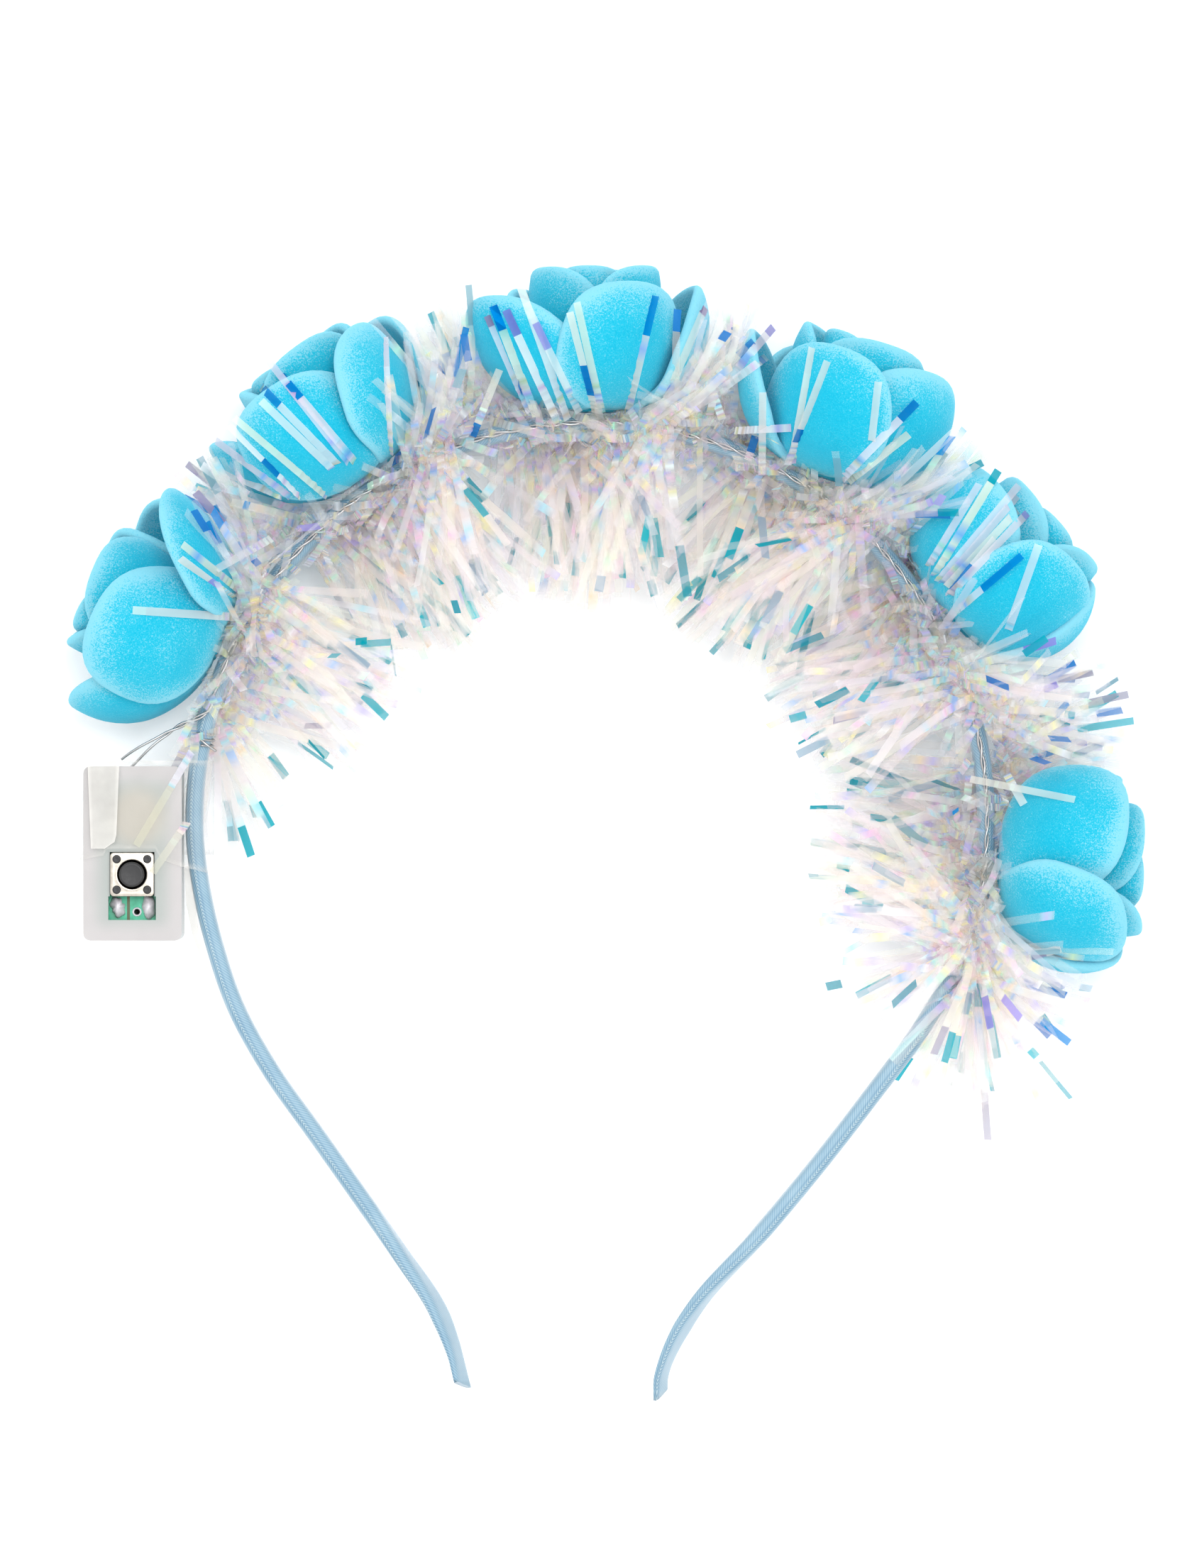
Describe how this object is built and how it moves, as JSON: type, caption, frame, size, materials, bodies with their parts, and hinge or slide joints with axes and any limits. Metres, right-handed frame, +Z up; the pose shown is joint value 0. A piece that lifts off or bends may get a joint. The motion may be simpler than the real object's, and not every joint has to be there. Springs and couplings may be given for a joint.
{
  "type": "light-up flower headband",
  "caption": "Arched ribbon-covered headband with foam roses and an iridescent tinsel garland along its crown, light beads on a wire and a taped-on battery case with a push switch.",
  "frame": {"origin": "on the table, under the middle of the headband's bounding box, lying on its side", "axes": "+Z up from the table, square to the hoop; +Y towards the crown; +X to the right seen from above"},
  "size_m": [0.1518, 0.159, 0.0319],
  "materials": {
    "ribbon": "satin",
    "foam": "matte",
    "film": "gloss",
    "wire": "satin",
    "bead": "gloss",
    "frosted": "satin",
    "cell": "satin",
    "board": "satin",
    "solder": "satin",
    "black": "satin",
    "plate": "satin",
    "tape": "gloss"
  },
  "bodies": {
    "headband": {"band": "ribbon", "tinsel_garland": "film", "light_wire": "wire", "rose_1_outer_petals": "foam", "rose_1_inner_petals": "foam", "rose_1_bud": "foam", "light_bead_1": "bead", "rose_2_outer_petals": "foam", "rose_2_inner_petals": "foam", "rose_2_bud": "foam", "light_bead_2": "bead", "rose_3_outer_petals": "foam", "rose_3_inner_petals": "foam", "rose_3_bud": "foam", "light_bead_3": "bead", "rose_4_outer_petals": "foam", "rose_4_inner_petals": "foam", "rose_4_bud": "foam", "light_bead_4": "bead", "rose_5_outer_petals": "foam", "rose_5_inner_petals": "foam", "rose_5_bud": "foam", "light_bead_5": "bead", "rose_6_outer_petals": "foam", "rose_6_inner_petals": "foam", "rose_6_bud": "foam", "light_bead_6": "bead", "battery_case": "frosted", "battery_cover": "frosted", "circuit_board": "board", "button_cell_1": "cell", "button_cell_2": "cell", "solder_left": "solder", "solder_right": "solder", "switch_body": "black", "switch_plate": "plate", "clear_tape": "tape"},
    "button": {"switch_button": "black"}
  },
  "joints": [
    {"name": "button_press", "type": "slide", "parent": "headband", "child": "button", "axis": [0, 0, -1], "range_m": [0, 0.00025], "stiffness_N_per_m": 120, "springref_m": -0.0005}
  ]
}
